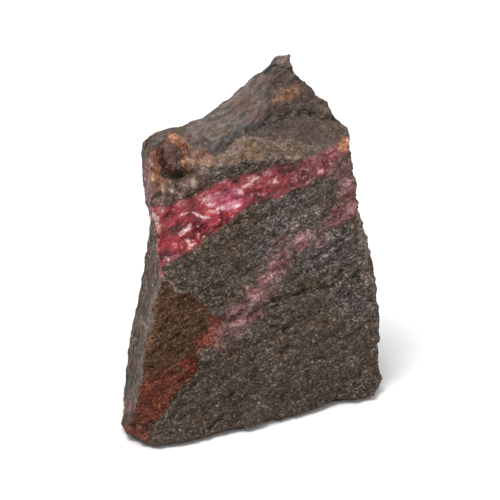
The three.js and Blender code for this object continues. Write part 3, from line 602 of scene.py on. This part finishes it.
class Shade:
    """Builds one material's node tree."""

    def __init__(self, name):
        self.material = bpy.data.materials.new(name)
        self.material.use_nodes = True
        self.tree = self.material.node_tree
        self.shader = self.tree.nodes["Principled BSDF"]
        place = self.tree.nodes.new("ShaderNodeTexCoord").outputs["Object"]
        self.place = self.vector("SCALE", place, scale=1 / MM)

    def put(self, socket, value):
        """Gives a socket a fixed value, or links another node's result to it."""
        if isinstance(value, bpy.types.NodeSocket):
            self.tree.links.new(value, socket)
        else:
            socket.default_value = value

    def vector(self, operation, a, b=None, scale=None):
        node = self.tree.nodes.new("ShaderNodeVectorMath")
        node.operation = operation
        self.put(node.inputs[0], a)
        if b is not None:
            self.put(node.inputs[1], b)
        if scale is not None:
            node.inputs["Scale"].default_value = scale
        return node.outputs["Value" if operation == "DOT_PRODUCT" else "Vector"]

    def math(self, operation, a, b=0.0, c=None):
        node = self.tree.nodes.new("ShaderNodeMath")
        node.operation = operation
        self.put(node.inputs[0], a)
        self.put(node.inputs[1], b)
        if c is not None:
            self.put(node.inputs[2], c)
        return node.outputs[0]

    def attribute(self, name):
        node = self.tree.nodes.new("ShaderNodeAttribute")
        node.attribute_name = name
        return node.outputs["Fac"]

    def stretched(self, along, across, long, wide):
        """Places measured along two directions, so that patterns come out long one way."""
        along, across = Vector(along).normalized(), Vector(across).normalized()
        third = along.cross(across).normalized()
        across = third.cross(along)
        node = self.tree.nodes.new("ShaderNodeCombineXYZ")
        for k, (way, length) in enumerate([(along, long), (across, wide), (third, wide)]):
            self.put(node.inputs[k], self.vector("DOT_PRODUCT", self.place, way / length))
        return node.outputs[0]

    def noise(self, size, detail=3.0, rough=0.55, place=None, shift=0.0):
        """Noise with lumps of the given size, moved by shift so that no two patterns agree."""
        node = self.tree.nodes.new("ShaderNodeTexNoise")
        moved = self.vector("ADD", place or self.place, (shift, shift * 0.7, -shift))
        self.put(node.inputs["Vector"], moved)
        node.inputs["Scale"].default_value = 1 / size
        node.inputs["Detail"].default_value = detail
        node.inputs["Roughness"].default_value = rough
        return node.outputs["Fac"]

    def cells(self, size):
        """Small cells, each with a number of its own."""
        node = self.tree.nodes.new("ShaderNodeTexVoronoi")
        self.put(node.inputs["Vector"], self.place)
        node.inputs["Scale"].default_value = 1 / size
        parts = self.tree.nodes.new("ShaderNodeSeparateColor")
        self.put(parts.inputs[0], node.outputs["Color"])
        return parts.outputs[0]

    def blend(self, *parts):
        """The sum of several patterns, each given with its weight."""
        pattern, weight = parts[0]
        total = self.math("MULTIPLY", pattern, weight)
        for pattern, weight in parts[1:]:
            total = self.math("MULTIPLY_ADD", pattern, weight, total)
        return total

    def range(self, value, low, high, to_low=0.0, to_high=1.0):
        """One value at low, the other at high, and a smooth change between."""
        node = self.tree.nodes.new("ShaderNodeMapRange")
        node.interpolation_type = "SMOOTHSTEP"
        self.put(node.inputs["Value"], value)
        node.inputs["From Min"].default_value = low
        node.inputs["From Max"].default_value = high
        node.inputs["To Min"].default_value = to_low
        node.inputs["To Max"].default_value = to_high
        return node.outputs["Result"]

    def colours(self, value, stops):
        """Colours that follow a pattern, each given with the place of the pattern that has it."""
        node = self.tree.nodes.new("ShaderNodeValToRGB")
        self.put(node.inputs[0], value)
        ramp_stops = node.color_ramp.elements
        while len(ramp_stops) < len(stops):
            ramp_stops.new(0.5)
        for stop, (at, colour) in zip(ramp_stops, stops):
            stop.position = at
            stop.color = linear(*colour)
        return node.outputs["Color"]

    def mix(self, amount, a, b, blend="MIX"):
        node = self.tree.nodes.new("ShaderNodeMix")
        node.data_type = "RGBA"
        node.blend_type = blend
        self.put(node.inputs["Factor"], amount)
        self.put(node.inputs["A"], a)
        self.put(node.inputs["B"], b)
        return node.outputs["Result"]

    def ragged(self, name, wobble, width, size=1.6, shift=0.0):
        """1 inside a region and 0 outside, along an uneven border."""
        moved = self.math("MULTIPLY_ADD", self.noise(size, 4.0, 0.65, shift=shift), wobble,
                          self.math("SUBTRACT", self.attribute(name), wobble / 2))
        return self.range(moved, -width, width)

    def patchy(self, name, size=1.2, shift=0.0, hard=0.35):
        """A soft region broken into patches: solid where it is strong, scattered where weak."""
        moved = self.math("ADD", self.attribute(name), self.noise(size, 4.0, 0.65, shift=shift))
        return self.range(moved, 1.0 - hard, 1.0 + hard)


class Rock(Shade):
    """The stone's material. Each kind of stone, and each painted shade and highlight, is laid over what
    was there before.
    """

    def __init__(self):
        super().__init__("stone")
        self.front = self.stretched(SHEET_ALONG, SHEET_STACK, 3.2, 0.8)
        self.upright = self.stretched((0.1, 0.25, 1.0), (1, 0, 0), 6.0, 1.0)
        self.swept = self.stretched(SWEPT_ALONG, SWEPT_STACK, 7.0, 1.0)
        self.grains = self.cells(0.3)
        self.chunk = self.cells(1.3)
        self.fine = self.noise(0.38, 3.0, 0.7)
        self.middle = self.noise(1.5, 3.0, 0.6, shift=4.0)
        self.streak = self.noise(0.5, 4.0, 0.6, self.front, 3.0)
        self.level = self.blend((self.grains, 0.17), (self.fine, 0.25), (self.middle, 0.15),
                                (self.streak, 0.43))
        self.sweep = self.blend((self.fine, 0.35), (self.noise(0.8, 3.0, 0.6, self.swept, 5.0), 0.65))
        flow = self.stretched(SHEET_ALONG, SHEET_STACK, 4.2, 1.9)
        self.blotch = self.noise(1.0, 4.0, 0.62, flow, 21.0)
        self.high = self.part("high", 0.8)
        self.colour = self.matrix()

    def part(self, name, amount):
        """A region at part of its strength."""
        return self.math("MULTIPLY", self.attribute(name), amount)

    def lay(self, mask, stone, amount=None):
        """Covers the colour so far with a new colour: another kind of stone, painted shade, painted
        highlight.
        """
        if amount is not None:
            mask = self.math("MULTIPLY", mask, amount)
        self.colour = self.mix(mask, self.colour, stone)

    def matrix(self):
        """Grey-brown grains with streaks along the sheets, in broad patches, quieter high up."""
        grey = self.colours(self.level, [(0.34, (30, 25, 21)), (0.44, (58, 50, 43)),
                                         (0.54, (84, 73, 64)), (0.66, (144, 128, 113))])
        brown = self.colours(self.level, [(0.34, (28, 20, 14)), (0.44, (56, 44, 34)),
                                          (0.53, (82, 67, 54)), (0.64, (138, 116, 94))])
        patch = self.noise(6.0, 3.0, 0.55, shift=7.0)
        grey = self.mix(self.range(patch, 0.48, 0.7), grey, brown)
        smooth = self.blend((self.middle, 0.5), (self.streak, 0.5))
        smooth = self.blend((smooth, 0.7), (self.fine, 0.3))
        quiet = self.colours(smooth, [(0.36, (46, 38, 33)), (0.47, (78, 67, 59)),
                                      (0.56, (100, 86, 76)), (0.66, (138, 120, 106))])
        return self.mix(self.high, grey, quiet)

    def add_slate(self):
        """Blue-grey patches."""
        slate = self.colours(self.level, [(0.34, (32, 28, 27)), (0.44, (62, 56, 54)),
                                          (0.53, (90, 82, 79)), (0.63, (162, 150, 144))])
        slate = self.mix(self.high, slate, linear(74, 70, 67))
        self.lay(self.patchy("slate", 2.2, 25.0, 0.4), slate)

    def add_swept_face(self):
        """The sloping face under the horn: smoother and paler, with rosy and blue-grey streaks."""
        pale = self.colours(self.sweep, [(0.34, (66, 59, 55)), (0.48, (98, 88, 82)),
                                         (0.64, (130, 117, 109))])
        rosy = self.colours(self.sweep, [(0.34, (74, 57, 50)), (0.5, (108, 86, 78)),
                                         (0.66, (140, 117, 107))])
        streaks = self.range(self.noise(3.0, 2.0, 0.5, self.swept, 6.0), 0.52, 0.66)
        pale = self.mix(streaks, pale, rosy)
        blue = self.colours(self.sweep, [(0.32, (50, 49, 48)), (0.5, (80, 78, 75)),
                                         (0.68, (118, 112, 106))])
        pale = self.mix(self.patchy("slate", 1.6, 27.0, 0.3), pale, blue)
        self.lay(self.patchy("pale", 0.8, 2.0, 0.2), pale)

    def add_left_side(self):
        """The narrow side on the left, with upright streaks."""
        grey = self.blend((self.fine, 0.35), (self.noise(0.6, 3.0, 0.65, self.upright, 9.0), 0.65))
        side = self.colours(grey, [(0.37, (28, 23, 20)), (0.46, (60, 49, 42)), (0.53, (82, 68, 58)),
                                   (0.64, (134, 113, 98))])
        self.lay(self.attribute("side"), side)

    def add_shoulder(self):
        """The tan shoulder with its peak, and the olive lumps under the nook."""
        fold = self.blend((self.noise(0.9, 4.0, 0.65, self.front, 12.0), 0.5),
                          (self.noise(0.8, 4.0, 0.65, self.swept, 12.0), 0.5))
        tan = self.colours(fold, [(0.38, (52, 41, 33)), (0.47, (90, 72, 60)), (0.55, (118, 97, 82)),
                                  (0.64, (170, 142, 118))])
        peak = self.colours(fold, [(0.38, (50, 38, 28)), (0.48, (90, 71, 55)),
                                   (0.6, (132, 108, 86))])
        tan = self.mix(self.patchy("peak", 1.2, 19.0, 0.3), tan, peak)
        self.lay(self.patchy("tan", 1.4, 4.0, 0.25), tan)
        olive = self.colours(self.noise(1.5, 4.0, 0.65, shift=14.0),
                             [(0.36, (42, 34, 29)), (0.46, (88, 70, 60)), (0.54, (122, 100, 88)),
                              (0.63, (166, 148, 132))])
        self.lay(self.patchy("olive", 1.2, 6.0, 0.3), olive)

    def add_edges(self):
        """Painted shade in grooves and hollows; light worn edges and crystals, partly painted highlight.
        """
        # Painted shade: darker tones laid in grooves, hollows and under the lip
        painted_shade = self.colours(self.level, [(0.38, (22, 18, 15)), (0.48, (52, 45, 40)),
                                         (0.56, (86, 74, 65)), (0.64, (160, 142, 126))])
        smooth_painted_shade = self.colours(self.sweep, [(0.34, (36, 33, 32)), (0.5, (66, 61, 58)),
                                                (0.66, (98, 91, 86))])
        painted_shade = self.mix(self.attribute("pale"), painted_shade, smooth_painted_shade)
        self.lay(self.patchy("painted_shade", 1.0, 8.0, 0.4), painted_shade, 0.85)
        # Light worn stone, and painted highlights on the peak's ridge and the rust face's top edge
        worn_and_highlit = self.colours(self.level, [(0.36, (74, 62, 55)), (0.48, (116, 100, 90)),
                                         (0.6, (190, 170, 158))])
        self.lay(self.patchy("light", 0.8, 3.0, 0.4), worn_and_highlit, 0.8)

    def add_rust(self):
        """The rust face with its orange and red parts. Gives back where it is."""
        rust = self.colours(self.level, [(0.35, (24, 14, 8)), (0.44, (58, 37, 24)),
                                         (0.53, (79, 54, 36)), (0.65, (142, 105, 72))])
        red = self.colours(self.level, [(0.34, (42, 12, 8)), (0.44, (88, 32, 22)),
                                        (0.54, (132, 54, 36)), (0.66, (184, 104, 78))])
        rust = self.mix(self.patchy("rust_red", 1.6, 5.0, 0.45), rust, red)
        scattered = self.math("MULTIPLY", self.patchy("rust_red", 1.6, 15.0, 0.4), 0.7)
        mask = self.math("MAXIMUM", self.ragged("rust", 1.6, 0.4, 1.8, 2.0), scattered)
        self.lay(mask, rust)
        return mask

    def add_rose(self):
        """The rose-coloured patches."""
        grain = self.blend((self.level, 0.5), (self.blotch, 0.5))
        rose = self.colours(grain, [(0.40, (70, 38, 40)), (0.47, (118, 76, 79)),
                                    (0.53, (154, 104, 106)), (0.62, (208, 168, 166))])
        self.lay(self.patchy("rose", 1.3, 9.0, 0.5), rose)

    def vein_tone(self):
        """Light and dark in the vein: blotches, with more upright stripes towards the right."""
        upright = self.stretched((0.15, 0.1, 1.0), (1, 0, 0), 3.0, 1.0)
        stripes = self.noise(0.5, 3.0, 0.65, upright, 23.0)
        striped = self.math("MULTIPLY_ADD", self.attribute("fade"), 0.35, 0.1)
        tone = self.math("SUBTRACT", stripes, self.blotch)
        tone = self.math("MULTIPLY_ADD", tone, striped, self.blotch)
        return self.math("MULTIPLY_ADD", self.math("SUBTRACT", self.chunk, 0.5), 0.07, tone)

    def add_vein(self):
        """The crimson vein, duller towards the right. Gives back where it is."""
        tone = self.vein_tone()
        vein = self.colours(tone, [(0.35, (80, 4, 16)), (0.43, (118, 10, 26)), (0.50, (152, 26, 40)),
                                   (0.58, (178, 58, 70)), (0.67, (242, 186, 184))])
        dusky = self.colours(tone, [(0.36, (48, 12, 14)), (0.45, (80, 26, 27)), (0.52, (102, 44, 43)),
                                    (0.6, (134, 75, 71)), (0.68, (206, 162, 150))])
        vein = self.mix(self.part("fade", 0.8), vein, dusky)
        # Pale pink crystal, brightened as painted highlight where it faces up
        bright = self.colours(tone, [(0.36, (120, 24, 46)), (0.45, (170, 62, 86)),
                                     (0.53, (206, 114, 132)), (0.62, (248, 214, 218))])
        vein = self.mix(self.patchy("patch", 0.9, 11.0, 0.35), vein, bright)
        # White flakes: pale crystal, and painted highlight on it
        white_flake_glint = self.colours(self.fine, [(0.36, (178, 84, 92)), (0.47, (232, 172, 172)),
                                        (0.58, (254, 244, 240))])
        vein = self.mix(self.patchy("white_flake_glint", 0.8, 33.0, 0.3), vein, white_flake_glint)
        # Painted shade in the vein's holes: dark crimson
        deep = self.mix(self.fine, linear(70, 2, 12), linear(120, 10, 26))
        hole_shade = self.math("MULTIPLY", self.patchy("hole_shade", 0.9, 35.0, 0.5), 0.8)
        vein = self.mix(hole_shade, vein, deep)
        # Painted shade just inside the vein's borders, as under the lip
        border_shade = self.range(self.attribute("vein"), 0.3, 2.2, 0.35, 0.0)
        vein = self.mix(self.math("MULTIPLY", border_shade, self.middle), vein, linear(64, 6, 14))
        mask = self.ragged("vein", 1.6, 0.6, 1.0)
        self.lay(mask, vein)
        return mask

    def add_nook(self):
        """Amber crystals round the nook's brown lump. Gives back where the lump is."""
        prism = self.blend((self.noise(1.3, 4.0, 0.7, shift=33.0), 0.6),
                           (self.noise(0.6, 4.0, 0.7, self.upright, 31.0), 0.4))
        amber = self.colours(prism, [(0.38, (66, 34, 22)), (0.46, (138, 82, 54)),
                                     (0.54, (192, 126, 92)), (0.64, (244, 200, 158))])
        self.lay(self.patchy("amber", 1.3, 13.0, 0.5), amber)
        lump = self.colours(prism, [(0.36, (44, 23, 18)), (0.5, (86, 51, 40)),
                                    (0.64, (144, 96, 78))])
        mask = self.patchy("nook", 0.8, 15.0, 0.3)
        self.lay(mask, lump)
        return mask

    def add_shade(self):
        """Painted shade: the colour darkened low down and in the saddle."""
        self.colour = self.mix(self.part("painted_dimming", 0.8), self.colour, (0.72, 0.71, 0.7, 1.0), "MULTIPLY")

    def add_grains_and_glints(self, rust):
        """Rare light grains with painted glints, not in the smooth and rusty stone. Gives back where they
        are.
        """
        plain = self.math("MAXIMUM", self.math("MAXIMUM", self.attribute("pale"), self.high), rust)
        fleck = self.range(self.cells(0.42), 0.965, 0.985)
        fleck = self.math("MULTIPLY", fleck, self.math("SUBTRACT", 1.0, plain))
        # Painted glint on light grains
        flecked = self.mix(0.45, self.colour, linear(190, 180, 168))
        self.lay(self.math("MULTIPLY", fleck, self.range(self.middle, 0.4, 0.6)), flecked)
        return fleck

    def set_gloss(self, glossy, fleck):
        """Glassy vein and lump, dull rock, and flecks that glint."""
        inputs = self.shader.inputs
        dull = self.math("MULTIPLY_ADD", fleck, -0.4, 0.74)
        rough = self.math("MULTIPLY_ADD", self.math("SUBTRACT", 0.27, dull), glossy, dull)
        self.put(inputs["Roughness"], rough)
        self.put(inputs["Specular IOR Level"], self.math("MULTIPLY_ADD", glossy, 0.3, 0.22))
        inputs["IOR"].default_value = 1.55

    def set_bump(self, glossy):
        """Grain too fine for the net, fainter on the smooth stone, and the vein's small chunks."""
        height = self.blend((self.fine, 1.1), (self.grains, 0.35), (self.streak, 0.9))
        still = self.math("MAXIMUM", glossy, self.part("pale", 0.6))
        left = self.math("SUBTRACT", 1.0, self.math("MULTIPLY", still, 0.7))
        height = self.math("MULTIPLY", height, left)
        height = self.math("MULTIPLY_ADD", self.math("MULTIPLY", self.chunk, glossy), 0.8, height)
        bump = self.tree.nodes.new("ShaderNodeBump")
        bump.inputs["Strength"].default_value = BUMP_STRENGTH
        bump.inputs["Distance"].default_value = BUMP_DEPTH * MM
        self.put(bump.inputs["Height"], height)
        self.put(self.shader.inputs["Normal"], bump.outputs["Normal"])


def rock_material():
    """The whole stone, from the matrix up to the flecks, then its gloss and its grain."""
    rock = Rock()
    rock.add_slate()
    rock.add_swept_face()
    rock.add_left_side()
    rock.add_shoulder()
    rock.add_edges()
    rust = rock.add_rust()
    rock.add_rose()
    vein = rock.add_vein()
    lump = rock.add_nook()
    rock.add_shade()
    fleck = rock.add_grains_and_glints(rust)
    rock.put(rock.shader.inputs["Base Color"], rock.colour)
    glossy = rock.math("MAXIMUM", vein, lump)
    rock.set_gloss(glossy, fleck)
    rock.set_bump(glossy)
    return rock.material


# Stage

def build_floor():
    bpy.ops.mesh.primitive_plane_add(size=FLOOR_SIZE)
    floor = bpy.context.object
    floor.name = "floor"
    material = bpy.data.materials.new("floor")
    material.use_nodes = True
    shader = material.node_tree.nodes["Principled BSDF"]
    shader.inputs["Base Color"].default_value = (FLOOR_WHITE, FLOOR_WHITE, FLOOR_WHITE, 1.0)
    shader.inputs["Roughness"].default_value = 0.9
    floor.data.materials.append(material)


def build_lights():
    world = bpy.data.worlds.new("studio")
    bpy.context.scene.world = world
    world.use_nodes = True
    world.node_tree.nodes["Background"].inputs[0].default_value = (1.0, 1.0, 1.0, 1.0)
    world.node_tree.nodes["Background"].inputs[1].default_value = SKY_STRENGTH
    for name, place, width, watts in LAMPS:
        light = bpy.data.lights.new(name, "AREA")
        light.shape = "DISK"
        light.size = width
        light.energy = watts
        lamp = bpy.data.objects.new(name, light)
        lamp.location = place
        lamp.rotation_euler = (-Vector(place)).to_track_quat("-Z", "Y").to_euler()
        bpy.context.scene.collection.objects.link(lamp)


def build_camera():
    _, _, back = eye_axes()
    data = bpy.data.cameras.new("camera")
    data.lens = LENS_MM
    data.sensor_width = SENSOR_MM
    data.clip_start = 0.01
    camera = bpy.data.objects.new("camera", data)
    camera.location = (EYE_TARGET + back * EYE_DISTANCE) * MM
    camera.rotation_euler = Vector(-back).to_track_quat("-Z", "Y").to_euler()
    bpy.context.scene.collection.objects.link(camera)
    bpy.context.scene.camera = camera


bpy.context.scene.view_settings.view_transform = "Standard"
stone = build_stone()
stone.data.materials.append(rock_material())
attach(stone, "root")
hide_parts("rough")
build_floor()
build_lights()
build_camera()
